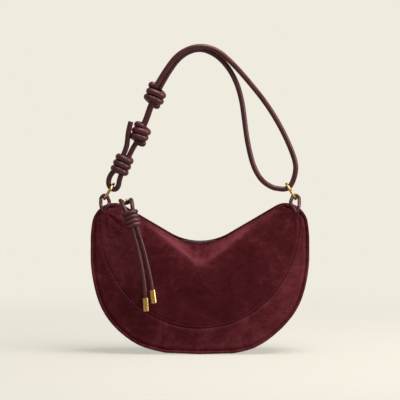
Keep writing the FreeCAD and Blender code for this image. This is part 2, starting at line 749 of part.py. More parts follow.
level_side = (Vector(1, 0, 0) - pull_lean * pull_lean.x).normalize()
loop_side = (level_side + chain_direction).normalize()
loop_bow = ((size("pull_ring_wire") + pull_cord) / 2 + play) / loop_side.dot(chain_direction)
bow_corners = [pull_ring_far - pull_lean * loop_bow + loop_side * (loop_bow * hand) for hand in (-1, 1)]
LOOP_LEFT = [(-97, -27, 198), (-100.5, -17.5, 205)]
LOOP_RIGHT = [(-91.6, -15, 204), (-89.5, -26, 198.5)]
knot_top = PULL_KNOT_CENTRE + PULL_KNOT_AXIS * (pull_knot_half + PULL_SEATS["loop"])
left_foot = PULL_KNOT_CENTRE - PULL_KNOT_AXIS * (pull_knot_half + PULL_SEATS["left"]) - pull_beside
right_foot = PULL_KNOT_CENTRE - PULL_KNOT_AXIS * (pull_knot_half + PULL_SEATS["right"]) + pull_beside
add_cord("pull_loop", [tuple(knot_top - pull_beside)] + LOOP_LEFT
         + [tuple(corner) + (loop_bow,) for corner in bow_corners]
         + LOOP_RIGHT + [tuple(knot_top + pull_beside)], pull_cord)

TAIL_ROUTES = {
    "left": [tuple(left_foot), (-84.5, -34, 149), (-79, -36.3, 128), (-75, -38.3, 106),
             (-72.3, -40, 84), (-71.2, -41, 66.5)],
    "right": [tuple(right_foot), (-78, -34, 151.5), (-72.5, -36.2, 132), (-68, -38, 113),
              (-64, -39.4, 95), (-61.6, -40.4, 77)],
}


def sketched_circle(body, name, radius, level=None):
    sketch = body.newObject("Sketcher::SketchObject", name)
    plane = next(item for item in body.Origin.OriginFeatures if item.Role == "XY_Plane")
    sketch.AttachmentSupport = [(plane, "")]
    sketch.MapMode = "FlatFace"
    if level is not None:
        sketch.setExpression("AttachmentOffset.Base.z", level)
    sketch.addGeometry(Part.Circle(Vector(0, 0, 0), Vector(0, 0, 1), 1))
    sketch.addConstraint(Sketcher.Constraint("Coincident", 0, 3, -1, 1))
    sketch.addConstraint(Sketcher.Constraint("Radius", 0, 1))
    sketch.setExpression("Constraints[1]", radius)
    return sketch


def add_cap(node, place):
    """Brass cup on the end of a tail: closed end at the origin, mouth up the Z axis."""
    body = keep(doc.addObject("PartDesign::Body", node), node)
    pad = body.newObject("PartDesign::Pad", f"{node}_pad")
    pad.Profile = sketched_circle(body, f"{node}_round", "Sizes.cap_diameter / 2")
    pad.setExpression("Length", "Sizes.cap_length")
    doc.recompute()
    whole = pad.Shape.Volume
    bore = body.newObject("PartDesign::Pocket", f"{node}_bore")
    bore.Profile = sketched_circle(body, f"{node}_mouth", "Sizes.pull_cord / 2 + Sizes.seam_gap",
                                   "Sizes.cap_length")
    bore.setExpression("Length", "Sizes.cap_bore_depth")
    doc.recompute()
    print(f"{node}: bore takes {whole - bore.Shape.Volume:.1f} mm3")
    rims = [f"Edge{number}" for number, edge in enumerate(bore.Shape.Edges, start=1)
            if len(edge.Vertexes) == 1 and abs(edge.CenterOfMass.z) < SAME_POINT]
    rounding = body.newObject("PartDesign::Fillet", f"{node}_edge")
    rounding.Base = (bore, rims)
    rounding.setExpression("Radius", "Sizes.cap_edge")
    body.Tip = rounding
    body.Placement = place


for side, points in TAIL_ROUTES.items():
    add_cord(f"pull_tail_{side}", points, pull_cord)
    tail_end = Vector(*points[-1])
    heading = (tail_end - Vector(*points[-2])).normalize()
    cap_end = tail_end + heading * (size("cap_length") - size("cap_bore_depth") + gap)
    add_cap(f"tail_cap_{side}", Placement(cap_end, Rotation(Vector(0, 0, 1), -heading)))

# Check every object, then write one file for each piece
doc.recompute()
for item in doc.Objects:
    if "Invalid" in item.State or "Error" in item.State:
        raise RuntimeError(f"{item.Name} failed: {item.State}")
for node, feature in nodes.items():
    shape = feature.Shape
    if shape.isNull() or not shape.isValid():
        raise RuntimeError(f"{node} has no valid shape")

os.makedirs("parts", exist_ok=True)
for node, feature in nodes.items():
    feature.Shape.exportStep(f"parts/{node}.step")

travel = 2 * abs(slider_angle) - along_zip(slider_length + stop_length)
print(f"{len(nodes)} nodes")
print("zip axis", tuple(zip_centre), "travel", travel)
print("bridge", tuple(bridge_point), "along", tuple(chain_direction), "rest", math.degrees(rest_angle))
print("pull ring far", tuple(pull_ring_far), "lean", tuple(pull_lean))
print("tail hinges", tuple(left_foot - pull_beside), tuple(right_foot + pull_beside))
print("ring hinge heights", hinge_heights)
print("bights", {side: tuple(centre) for side, centre in bight_centres.items()}, "radius", bight)
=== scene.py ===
import math

import bpy
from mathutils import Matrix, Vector, kdtree, noise


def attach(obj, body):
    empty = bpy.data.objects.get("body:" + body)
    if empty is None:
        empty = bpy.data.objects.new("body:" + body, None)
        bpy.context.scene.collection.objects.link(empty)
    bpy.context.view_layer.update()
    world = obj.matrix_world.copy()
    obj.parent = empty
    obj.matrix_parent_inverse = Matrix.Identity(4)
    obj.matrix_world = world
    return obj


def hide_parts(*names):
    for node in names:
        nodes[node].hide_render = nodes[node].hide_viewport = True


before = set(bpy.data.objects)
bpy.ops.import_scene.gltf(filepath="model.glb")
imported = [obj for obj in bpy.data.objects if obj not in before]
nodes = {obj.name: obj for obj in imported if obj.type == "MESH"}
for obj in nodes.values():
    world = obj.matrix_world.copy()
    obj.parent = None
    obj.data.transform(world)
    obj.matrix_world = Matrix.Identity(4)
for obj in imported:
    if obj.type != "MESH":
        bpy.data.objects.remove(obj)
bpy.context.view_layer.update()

# Half-moon suede bag. Lengths here are in millimetres and become metres where a mesh or curve is made.
MM = 0.001
scene = bpy.context.scene

# Outline of a panel, in its own plane: x across, s up the panel
HALF_WIDTH = 145.0
BASE_HALF = 43.0
CORNER_RADIUS = 60.0
SIDE_STRAIGHT = 16.7
SHOULDER_RADIUS = 150.0
SHOULDER_LEAN = 9.7
PEAK_RADIUS = 28.5
SLOPE_ANGLE = 30.9
DIP_RADIUS = 77.0
MOUTH_ANGLE = 92.0
HALF_DEPTH = 36.0
PANEL_LEAN = math.radians(7.2)
PIPING_RADIUS = 2.0
PIPING_INSET = PIPING_RADIUS / math.cos(PANEL_LEAN)
EDGE_INSET = 3.3
SEAM_HEIGHT = 34.3
SEAM_RADIUS = 126.0
SEAM_ANGLE = 45.0
SEAM_SIDE = HALF_WIDTH - 12.0
SKIRT_POINTS = 1200
MOUTH_POINTS = 600
SEAM_POINTS = 1000

slope = math.radians(SLOPE_ANGLE)
lean = math.radians(SHOULDER_LEAN)
belly_centre = Vector((0, CORNER_RADIUS + math.sqrt((HALF_WIDTH - CORNER_RADIUS) ** 2 - BASE_HALF ** 2)))
corner_centre = Vector((BASE_HALF, CORNER_RADIUS))
corner_angle = math.degrees(math.atan2(CORNER_RADIUS - belly_centre.y, BASE_HALF))
side_top = belly_centre.y + SIDE_STRAIGHT
shoulder_centre = Vector((HALF_WIDTH - SHOULDER_RADIUS, side_top))
peak_centre = shoulder_centre + Vector((math.cos(lean), math.sin(lean))) * (SHOULDER_RADIUS - PEAK_RADIUS)
slope_foot = peak_centre + Vector((-math.sin(slope), math.cos(slope))) * PEAK_RADIUS
dip_centre = Vector((0, slope_foot.y - slope_foot.x * math.tan(slope) + DIP_RADIUS / math.cos(slope)))
seam_turn = math.radians(SEAM_ANGLE)
seam_centre = Vector((0, SEAM_HEIGHT + SEAM_RADIUS))
seam_side_radius = (SEAM_SIDE - SEAM_RADIUS * math.sin(seam_turn)) / (1 - math.sin(seam_turn))


def polar(centre, radius, degrees):
    angle = math.radians(degrees)
    return centre + Vector((math.cos(angle), math.sin(angle))) * radius


def arc(centre, radius, start, end, step=0.6):
    count = max(2, math.ceil(abs(math.radians(end - start)) * radius / step))
    return [polar(centre, radius, start + (end - start) * number / count) for number in range(count + 1)]


seam_side_centre = polar(seam_centre, SEAM_RADIUS - seam_side_radius, SEAM_ANGLE - 90)


def both_sides(right):
    """Whole line from a right half that starts on the middle."""
    return [Vector((-point.x, point.y)) for point in reversed(right[1:])] + right


def resample(points, count):
    """Points at even steps along a line."""
    lengths = [0.0]
    for first, second in zip(points, points[1:]):
        lengths.append(lengths[-1] + (second - first).length)
    result = []
    index = 0
    for number in range(count + 1):
        target = lengths[-1] * number / count
        while index < len(points) - 2 and lengths[index + 1] < target:
            index += 1
        span = lengths[index + 1] - lengths[index]
        share = (target - lengths[index]) / span if span > 0 else 0
        result.append(points[index].lerp(points[index + 1], min(max(share, 0), 1)))
    return result


def line_length(points):
    return sum((second - first).length for first, second in zip(points, points[1:]))


def bump(value, width):
    return math.exp(-(value / width) ** 2)


# How the filled bag settles: the most that a side widens, the height and spread of that, and the base's lift
LEFT_SETTLE = (5.6, 45, 42, 3.2)
RIGHT_SETTLE = (3.4, 58, 34, 2.2)
SETTLE_REACH = 80
LIFT_HEIGHT = 30
LIFT_PLACE = 58
LIFT_SPREAD = 20


def settled(point):
    """Full lower sides, the left one more, and a base that lifts a little towards its corners."""
    most, height, spread, lift = LEFT_SETTLE if point.x < 0 else RIGHT_SETTLE
    fuller = most * bump(point.y - height, spread) * min(abs(point.x) / SETTLE_REACH, 1)
    low = max(0, 1 - (point.y / LIFT_HEIGHT) ** 2)
    lifted = lift * low * bump(abs(point.x) - LIFT_PLACE, LIFT_SPREAD)
    return Vector((point.x + math.copysign(fuller, point.x), point.y + lifted))


def skirt(inset, end_angle=MOUTH_ANGLE):
    """Outline from the left peak round the base to the right peak."""
    right = [Vector((0, inset))]
    right += arc(corner_centre, CORNER_RADIUS - inset, -90, corner_angle)
    right += arc(belly_centre, HALF_WIDTH - inset, corner_angle, 0)
    right += arc(shoulder_centre, SHOULDER_RADIUS - inset, 0, SHOULDER_LEAN)
    right += arc(peak_centre, PEAK_RADIUS - inset, SHOULDER_LEAN, end_angle)
    return resample([settled(point) for point in both_sides(right)], SKIRT_POINTS)


def mouth(inset):
    """Top edge from the left peak through the dip to the right peak."""
    right = arc(dip_centre, DIP_RADIUS + inset, -90, SLOPE_ANGLE - 90)
    right += arc(peak_centre, PEAK_RADIUS - inset, 90 + SLOPE_ANGLE, MOUTH_ANGLE)
    return resample(both_sides(right), MOUTH_POINTS)


def seam_meeting(margin, inset):
    """Angle on the peak's arc where the seam runs into the outline."""
    return math.degrees(math.acos((SEAM_SIDE - margin - peak_centre.x) / (PEAK_RADIUS - inset)))


def seam(margin, inset):
    """Curved seam from the left side round to the right side, drawn in by a margin."""
    right = arc(seam_centre, SEAM_RADIUS - margin, -90, SEAM_ANGLE - 90)
    right += arc(seam_side_centre, seam_side_radius - margin, SEAM_ANGLE - 90, 0)
    right.append(polar(peak_centre, PEAK_RADIUS - inset, seam_meeting(margin, inset)))
    return resample(both_sides(right), SEAM_POINTS)


def tree_of(points):
    tree = kdtree.KDTree(len(points))
    for number, point in enumerate(points):
        tree.insert((point.x, point.y, 0), number)
    tree.balance()
    return tree


edge_tree = tree_of(skirt(EDGE_INSET))
mouth_tree = tree_of(mouth(0))
seam_tree = tree_of(seam(0, EDGE_INSET))


def distance(tree, x, s):
    return tree.find((x, s, 0))[2]


def smooth(value):
    value = min(max(value, 0), 1)
    return value * value * (3 - 2 * value)


# Relief of the soft panels: how far the suede stands out from the plane of the panel.
# A roll or groove has a height, the distance at which it lies, and a width.
# A tuck has a depth and a spread. A fade has the place where it starts and its width.
# Waves have a height and their sizes across and up the panel.
PANEL_LEVEL = 0.8
BULGE = 5.0
BULGE_REACH = 72.0
MOUTH_REACH = 62.0
SOFT_REACH = 22
STITCH_OFFSET = 2.3
RIM_STITCH = 4.6
EDGE_ROLL = (0.55, 4.5, 3)
EDGE_TUCK = (1.7, 1.3)
SEAM_LINES = ((-1.0, 0, 0.9), (-0.32, STITCH_OFFSET, 0.75), (0.35, 5.5, 2.4))
MOUTH_LINE = (-0.34, RIM_STITCH, 0.8)
RIM_TUCK = (0.5, 0.7)
RIM_THINNING = (1.6, 9)
BROAD_WAVES = (1.0, 46, 40)
FINE_WAVES = (0.45, 17, 15)
WAVES_RIM_REACH = 10

DRAPE_LOW = 112
DRAPE_SLOPE = 0.80
DRAPE_ROUND = 6
DRAPE_TILT = 0.78
DRAPE_HEIGHT = 3.0
DRAPE_ABOVE = 10
DRAPE_BELOW = 24
DRAPE_CREASE = (1.0, 1.5, 3.4)
DRAPE_HOLLOW = (-1.6, 15, 8)
DRAPE_FADE = (40, 40)
CREASE_FADE = (3, 12)
DRAPE_AT_RIM = 0.35
DRAPE_RIM_REACH = 8

PUCKER_PLACE = Vector((126, 189))
PUCKER_HEIGHT = 0.9
PUCKER_ROOT = 9
PUCKER_PEAK = 12
PUCKER_SPREAD = 22
PUCKER_RIM_REACH = 5
PUCKER_FOLDS = 9
SMALL_FOLDS = 15
SMALL_FOLD_SHARE = 0.6


def roll(reach, line):
    height, place, width = line
    return height * bump(reach - place, width)


def tuck(reach, line):
    depth, spread = line
    return depth * math.exp(-reach / spread)


def rising(value, fade):
    """0 up to the start of a fade, rising to 1 over its width."""
    start, width = fade
    return smooth((value - start) / width)


def beyond(x, fade):
    """0 near the middle, rising to 1 towards the sides."""
    return rising(abs(x), fade)


def above_drape(x, s):
    """Distance above the ridge of the V-shaped drape that hangs below the dip of the mouth."""
    ridge = DRAPE_LOW + math.hypot(DRAPE_SLOPE * x, DRAPE_ROUND)
    return (s * math.cos(PANEL_LEAN) - ridge) * DRAPE_TILT


def swag(x, s):
    above = above_drape(x, s)
    main = DRAPE_HEIGHT * bump(above, DRAPE_ABOVE if above > 0 else DRAPE_BELOW)
    crease = roll(above, DRAPE_CREASE) * beyond(x, CREASE_FADE)
    return (1 - beyond(x, DRAPE_FADE)) * (main + crease + roll(above, DRAPE_HOLLOW))


def puckers(x, s, seed):
    """Small pulls that fan out from the upper corners."""
    total = 0
    for sign in (-1, 1):
        away = Vector((x - sign * PUCKER_PLACE.x, s - PUCKER_PLACE.y))
        reach = away.length
        angle = math.atan2(away.y, away.x * sign)
        wave = math.sin(PUCKER_FOLDS * angle + seed + sign)
        wave += SMALL_FOLD_SHARE * math.sin(SMALL_FOLDS * angle + 2 * seed)
        total += PUCKER_HEIGHT * wave * smooth(reach / PUCKER_ROOT) * bump(reach - PUCKER_PEAK, PUCKER_SPREAD)
    return total


def waves(x, s, seed):
    """Broad and fine unevenness of a whole panel."""
    broad, broad_across, broad_up = BROAD_WAVES
    fine, fine_across, fine_up = FINE_WAVES
    total = broad * noise.noise(Vector((x / broad_across + seed, s / broad_up, seed)))
    return total + fine * noise.noise(Vector((x / fine_across, s / fine_up + seed, 3 * seed)))


def relief(x, s, seed):
    to_edge = distance(edge_tree, x, s)
    to_mouth = distance(mouth_tree, x, s)
    to_seam = distance(seam_tree, x, s)
    rise = math.sin(math.pi / 2 * min(1, to_edge / BULGE_REACH)) * smooth(to_mouth / MOUTH_REACH)
    level = PANEL_LEVEL + BULGE * rise
    soft = smooth(to_edge / SOFT_REACH)
    level += soft * swag(x, s) * (DRAPE_AT_RIM + (1 - DRAPE_AT_RIM) * smooth(to_mouth / DRAPE_RIM_REACH))
    level += soft * puckers(x, s, seed) * smooth(to_mouth / PUCKER_RIM_REACH)
    level += soft * smooth(to_mouth / WAVES_RIM_REACH) * waves(x, s, seed)
    level += roll(to_edge, EDGE_ROLL) - tuck(to_edge, EDGE_TUCK)
    level += sum(roll(to_seam, line) for line in SEAM_LINES)
    level += roll(to_mouth, MOUTH_LINE) - tuck(to_mouth, RIM_TUCK) - tuck(to_mouth, RIM_THINNING) * soft
    return level


# Painted light and shade on the suede, with the same kinds of values as the relief: painted highlight on the
# drape's crest and shoulder, in streaks along it and at the rim, and painted shade in the hollow below it
CREST_HIGHLIGHT = (0.85, 1.0, 3.6)
SHOULDER_HIGHLIGHT = (0.45, 6, 11)
STREAK_HIGHLIGHT = (0.30, 12, 14)
RIM_HIGHLIGHT = (0.45, 5, 6)
HOLLOW_SHADE = (0.28, -42, 34)
HIGHLIGHT_FADE = (46, 34)
HOLLOW_SHADE_FADE = (50, 60)
STREAK_LENGTH = 30
STREAK_WIDTH = 2.6
# Painted highlight along the rim: its level, which varies along the rim over this length
RIM_HIGHLIGHT_LEVEL = 0.6
RIM_HIGHLIGHT_LENGTH = 25
# Painted light on the upper left, which faces away from the lamps and would lie in shade
UPPER_LEFT_LIGHT = 0.55
CORNER_SIDE_FADE = (62, 30)
CORNER_UP_FADE = (70, 50)
# Painted light on the crescent: a little everywhere, more towards the right, the side of the lamps
BAND_LIGHT = 0.05
BAND_LIGHT_RISE = 0.42
BAND_FADE = (10, 110)
PIPING_NAP = 0.2


def panel_painted_light(x, s, seed):
    """Painted highlight on the raised folds, along the rim and on the upper left, and painted shade in the
    hollow below the drape.
    """
    above = above_drape(x, s)
    # painted highlight on the crest and shoulder of the drape
    crest_light = roll(above, CREST_HIGHLIGHT) + roll(above, SHOULDER_HIGHLIGHT)
    # painted highlight in streaks along the drape
    streak = noise.noise(Vector((x / STREAK_LENGTH, above / STREAK_WIDTH, seed)))
    streak_light = max(0, streak) * roll(above, STREAK_HIGHLIGHT)
    # painted highlight along the rim, uneven along it
    rim_brightness = RIM_HIGHLIGHT_LEVEL + RIM_HIGHLIGHT_LEVEL * noise.noise(Vector((x / RIM_HIGHLIGHT_LENGTH, seed, 1)))
    rim_light = roll(distance(mouth_tree, x, s), RIM_HIGHLIGHT) * rim_brightness
    # painted shade in the hollow below the drape
    shade_below = roll(above, HOLLOW_SHADE) * (1 - beyond(x, HOLLOW_SHADE_FADE))
    # painted light on the upper left, which faces away from the lamps
    corner = UPPER_LEFT_LIGHT * rising(-x, CORNER_SIDE_FADE) * rising(s, CORNER_UP_FADE)
    return (1 - beyond(x, HIGHLIGHT_FADE)) * (crest_light + streak_light) + rim_light + corner - shade_below


def band_painted_light(x):
    """Painted light on the crescent, which is lighter towards the right, the side of the lamps."""
    return BAND_LIGHT + BAND_LIGHT_RISE * rising(x, BAND_FADE)


def in_front(x, s, level):
    """Point over the front panel, a height above its plane."""
    return Vector((x, -HALF_DEPTH + s * math.sin(PANEL_LEAN) - level * math.cos(PANEL_LEAN),
                   s * math.cos(PANEL_LEAN) + level * math.sin(PANEL_LEAN)))


def placer(side):
    """Place a point of a panel's plane in space, on the front or turned round to the back."""
    if side == "front":
        return in_front

    def behind(x, s, level):
        point = in_front(x, s, level)
        return Vector((-point.x, -point.y, point.z))

    return behind


# Materials
class Shader:
    """Node tree of one material, with its principled shader."""

    def __init__(self, name):
        self.material = bpy.data.materials.new(name)
        self.material.use_nodes = True
        self.tree = self.material.node_tree
        self.tree.nodes.clear()
        output = self.tree.nodes.new("ShaderNodeOutputMaterial")
        self.shader = self.tree.nodes.new("ShaderNodeBsdfPrincipled")
        self.tree.links.new(self.shader.outputs[0], output.inputs["Surface"])
        self.place = self.tree.nodes.new("ShaderNodeTexCoord").outputs["Object"]

    def set(self, **values):
        for name, value in values.items():
            self.shader.inputs[name.replace("_", " ")].default_value = value

    def link(self, source, target):
        self.tree.links.new(source, target)
        return target

    def node(self, kind, **values):
        item = self.tree.nodes.new(kind)
        for name, value in values.items():
            setattr(item, name, value)
        return item

    def stretched(self, scale, turn=(0, 0, 0)):
        item = self.node("ShaderNodeMapping")
        item.inputs["Scale"].default_value = scale
        item.inputs["Rotation"].default_value = turn
        self.link(self.place, item.inputs["Vector"])
        return item.outputs["Vector"]

    def noise(self, scale, detail=2.0, rough=0.5, distortion=0.0, vector=None):
        item = self.node("ShaderNodeTexNoise")
        item.inputs["Scale"].default_value = scale
        item.inputs["Detail"].default_value = detail
        item.inputs["Roughness"].default_value = rough
        item.inputs["Distortion"].default_value = distortion
        self.link(vector or self.place, item.inputs["Vector"])
        return item.outputs["Fac"]

    def cells(self, scale):
        item = self.node("ShaderNodeTexVoronoi", feature="F1")
        item.inputs["Scale"].default_value = scale
        self.link(self.place, item.inputs["Vector"])
        return item.outputs["Distance"]

    def wave(self, scale, direction, distortion=0.0):
        item = self.node("ShaderNodeTexWave", bands_direction=direction)
        item.inputs["Scale"].default_value = scale
        item.inputs["Distortion"].default_value = distortion
        self.link(self.place, item.inputs["Vector"])
        return item.outputs["Fac"]

    def math(self, operation, first, second):
        item = self.node("ShaderNodeMath", operation=operation)
        for socket, value in zip(item.inputs, (first, second)):
            if isinstance(value, (int, float)):
                socket.default_value = value
            else:
                self.link(value, socket)
        return item.outputs[0]

    def ramp(self, factor, stops):
        item = self.node("ShaderNodeValToRGB")
        elements = item.color_ramp.elements
        while len(elements) < len(stops):
            elements.new(0.5)
        for element, (position, color) in zip(elements, stops):
            element.position = position
            element.color = tuple(color) + (1,)
        self.link(factor, item.inputs["Fac"])
        return item.outputs["Color"]

    def range(self, factor, low, high):
        item = self.node("ShaderNodeMapRange")
        item.inputs["To Min"].default_value = low
        item.inputs["To Max"].default_value = high
        self.link(factor, item.inputs["Value"])
        return item.outputs["Result"]

    def mix(self, factor, first, second, blend="MIX"):
        """Mix of two colours, whose sockets on the node are inputs 6 and 7 and output 2."""
        item = self.node("ShaderNodeMix", data_type="RGBA", blend_type=blend)
        for socket, value in ((item.inputs[0], factor), (item.inputs[6], first), (item.inputs[7], second)):
            if isinstance(value, (int, float)):
                socket.default_value = value
            elif isinstance(value, tuple):
                socket.default_value = value + (1,)
            else:
                self.link(value, socket)
        return item.outputs[2]

    def relief(self, height, strength, depth, normal=None):
        item = self.node("ShaderNodeBump")
        item.inputs["Strength"].default_value = strength
        item.inputs["Distance"].default_value = depth
        self.link(height, item.inputs["Height"])
        if normal is not None:
            self.link(normal, item.inputs["Normal"])
        return item.outputs["Normal"]

    def color(self, source):
        self.link(source, self.shader.inputs["Base Color"])

    def rough(self, source):
        self.link(source, self.shader.inputs["Roughness"])

    def normal(self, source):
        self.link(source, self.shader.inputs["Normal"])


# Tones of each material: places on a ramp and their colours
SUEDE_TONES = [
    (0.32, (0.070, 0.0088, 0.0112)), (0.50, (0.110, 0.0155, 0.0200)), (0.78, (0.260, 0.0520, 0.0680)),
]
SUEDE_SPECKLE = [(0.30, (0.42, 0.40, 0.40)), (0.70, (1.0, 1.0, 1.0))]
SUEDE_SHEEN = (0.66, 0.12, 0.17, 1)
NAP_WEIGHT = 0.52
STROKE_WEIGHT = 0.40
CLOUD_WEIGHT = 0.08
# Weight of the painted highlight and shade that the mesh carries
PAINTED_LIGHT_WEIGHT = 0.26
BRASS_TONES = [(0.25, (0.56, 0.335, 0.100)), (0.50, (0.65, 0.405, 0.140)), (0.80, (0.72, 0.475, 0.185))]
THREAD_TONES = [(0.3, (0.130, 0.026, 0.034)), (0.7, (0.260, 0.060, 0.076))]
BOARD_TONES = [(0.3, (0.05, 0.045, 0.042)), (0.7, (0.11, 0.10, 0.095))]


def suede_material():
    """Napped suede: blotches, brush strokes and clouds, with painted highlight and shade that the mesh
    carries in an attribute.
    """
    suede = Shader("suede")
    nap_and_painted_light = suede.noise(30, 4, 0.62, 1.0)
    strokes = suede.noise(1, 4, 0.7, 0.6, suede.stretched((130, 130, 200), (0, 0.35, 0)))
    cloud = suede.noise(9, 2, 0.5)
    # painted highlight and shade from the mesh, and the piping's lighter tone
    painted_light_and_tone = suede.node("ShaderNodeAttribute", attribute_name="nap_and_painted_light").outputs["Fac"]
    shade = suede.math("MULTIPLY", nap_and_painted_light, NAP_WEIGHT)
    for layer, weight in ((strokes, STROKE_WEIGHT), (cloud, CLOUD_WEIGHT), (painted_light_and_tone, PAINTED_LIGHT_WEIGHT)):
        shade = suede.math("ADD", shade, suede.math("MULTIPLY", layer, weight))
    grain = suede.noise(1500, 2, 0.6)
    suede.color(suede.mix(0.55, suede.ramp(shade, SUEDE_TONES), suede.ramp(grain, SUEDE_SPECKLE), "MULTIPLY"))
    suede.rough(suede.range(nap_and_painted_light, 0.86, 0.98))
    fibres = suede.relief(grain, 0.45, 0.0005)
    suede.normal(suede.relief(suede.noise(330, 3, 0.6), 0.35, 0.0008, fibres))
    suede.set(Specular_IOR_Level=0.04)
    suede.set(Sheen_Weight=0.20, Sheen_Roughness=0.40, Sheen_Tint=SUEDE_SHEEN)
    return suede.material


def leather_material(name, dark, light, rough_low, rough_high):
    leather = Shader(name)
    tint = leather.noise(60, 3, 0.55, 0.5)
    leather.color(leather.ramp(tint, [(0.32, dark), (0.70, light)]))
    pores = leather.cells(1250)
    crease = leather.noise(300, 3, 0.6, 0.7)
    leather.rough(leather.range(crease, rough_low, rough_high))
    grain = leather.relief(pores, 0.05, 0.00015)
    leather.normal(leather.relief(crease, 0.04, 0.0003, grain))
    leather.set(IOR=1.45)
    return leather.material


def brass_material():
    brass = Shader("brass")
    patina = brass.noise(190, 3, 0.6, 0.4)
    brass.color(brass.ramp(patina, BRASS_TONES))
    streak = brass.noise(1, 2, 0.5, 0, brass.stretched((500, 500, 4200)))
    brass.rough(brass.range(streak, 0.17, 0.22))
    brass.normal(brass.relief(streak, 0.004, 0.0001))
    brass.set(Metallic=1.0)
    return brass.material


def cloth_material(name, dark, light, pitch):
    cloth = Shader(name)
    across = cloth.wave(pitch, "X", 0.6)
    along = cloth.wave(pitch, "Z", 0.6)
    weave = cloth.math("MULTIPLY", across, along)
    blotch = cloth.noise(70, 2, 0.5)
    cloth.color(cloth.mix(blotch, cloth.ramp(weave, [(0.1, dark), (0.8, light)]), dark))
    cloth.rough(cloth.range(weave, 0.75, 0.9))
    cloth.normal(cloth.relief(weave, 0.4, 0.0003))
    cloth.set(Specular_IOR_Level=0.25, Sheen_Weight=0.2)
    return cloth.material


def thread_material():
    thread = Shader("thread")
    twist = thread.noise(1, 1, 0.5, 0, thread.stretched((2600, 2600, 2600), (0.5, 0.8, 0.3)))
    thread.color(thread.ramp(twist, THREAD_TONES))
    thread.rough(thread.range(twist, 0.5, 0.7))
    thread.normal(thread.relief(twist, 0.5, 0.0002))
    thread.set(Specular_IOR_Level=0.2)
    return thread.material


def board_material():
    board = Shader("base_board")
    speckle = board.noise(900, 2, 0.6)
    board.color(board.ramp(speckle, BOARD_TONES))
    board.rough(board.range(speckle, 0.7, 0.85))
    board.normal(board.relief(speckle, 0.2, 0.0002))
    return board.material


SUEDE = suede_material()
LEATHER = leather_material("strap_leather", (0.070, 0.0118, 0.0150), (0.124, 0.0250, 0.0305), 0.27, 0.37)
BRASS = brass_material()
LINING = cloth_material("lining_cloth", (0.050, 0.014, 0.017), (0.110, 0.036, 0.042), 420)
TAPE = cloth_material("zip_tape", (0.036, 0.010, 0.012), (0.080, 0.022, 0.026), 640)
TOOTH = leather_material("zip_coil", (0.030, 0.0070, 0.0085), (0.052, 0.0120, 0.0145), 0.30, 0.42)
THREAD = thread_material()
BOARD = board_material()


def mesh_piece(name, vertices, faces, material, body, replaced=()):
    mesh = bpy.data.meshes.new(name)
    mesh.from_pydata([tuple(Vector(vertex) * MM) for vertex in vertices], [], faces)
    mesh.validate()
    mesh.update()
    mesh.polygons.foreach_set("use_smooth", [True] * len(mesh.polygons))
    piece = bpy.data.objects.new(name, mesh)
    scene.collection.objects.link(piece)
    mesh.materials.append(material)
    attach(piece, body)
    if replaced:
        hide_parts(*replaced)
    return piece


# The attribute holds the painted highlight and shade of the suede, and the piping's lighter tone
def set_nap_and_painted_light(piece, values):
    piece.data.attributes.new("nap_and_painted_light", "FLOAT", "POINT").data.foreach_set("value", values)


def grid_faces(rows, columns, start=0):
    """Quads of a grid whose points run row by row."""
    return [(start + row * columns + column, start + row * columns + column + 1,
             start + (row + 1) * columns + column + 1, start + (row + 1) * columns + column)
            for row in range(rows - 1) for column in range(columns - 1)]


# Suede panels: the upper one folds in over the mouth, the lower one is the crescent under the seam.
# Each row of the fold has its distance below the mouth and its level.
UPPER_COLUMNS = 330
UPPER_ROWS = 120
UPPER_EASE = 0.45
BAND_COLUMNS = 420
BAND_ROWS = 34
BAND_EASE = 0.55
FOLD = [(6.0, -1.8), (2.0, -1.8), (0.7, -1.6), (0.1, -1.1), (0.0, -0.6)]


def eased(share, weight):
    """Share of the way down a panel, with closer rows at both ends."""
    return (1 - weight) * share + weight * (1 - math.cos(math.pi * share)) / 2


def upper_border():
    """Lower border of the upper panel: down the outline, round the seam and up again."""
    right = [point for point in seam(0, EDGE_INSET) if point.x >= 0]
    right += arc(peak_centre, PEAK_RADIUS - EDGE_INSET, seam_meeting(0, EDGE_INSET), MOUTH_ANGLE)
    right.append(polar(peak_centre, PEAK_RADIUS, MOUTH_ANGLE))
    return both_sides(right)


def upper_panel(side, seed):
    place = placer(side)
    top = resample(mouth(0), UPPER_COLUMNS)
    bottom = resample(upper_border(), UPPER_COLUMNS)
    rows = []
    nap_and_painted_light = []
    for inward, level in FOLD:
        row = []
        for upper, lower in zip(top, bottom):
            span = lower - upper
            reach = min(inward, 0.5 * span.length)
            point = upper + span.normalized() * reach if span.length > 0 else upper
            row.append(place(point.x, point.y, level))
            nap_and_painted_light.append(0)
        rows.append(row)
    for number in range(UPPER_ROWS + 1):
        share = eased(number / UPPER_ROWS, UPPER_EASE)
        row = []
        for upper, lower in zip(top, bottom):
            point = upper.lerp(lower, share)
            row.append(place(point.x, point.y, relief(point.x, point.y, seed)))
            # painted highlight and shade of each point
            nap_and_painted_light.append(panel_painted_light(point.x, point.y, seed))
        rows.append(row)
    vertices = [point for row in rows for point in row]
    faces = grid_faces(len(rows), UPPER_COLUMNS + 1)
    panel = mesh_piece(f"{side}_suede", vertices, faces, SUEDE, "bag", [f"{side}_upper_panel"])
    set_nap_and_painted_light(panel, nap_and_painted_light)


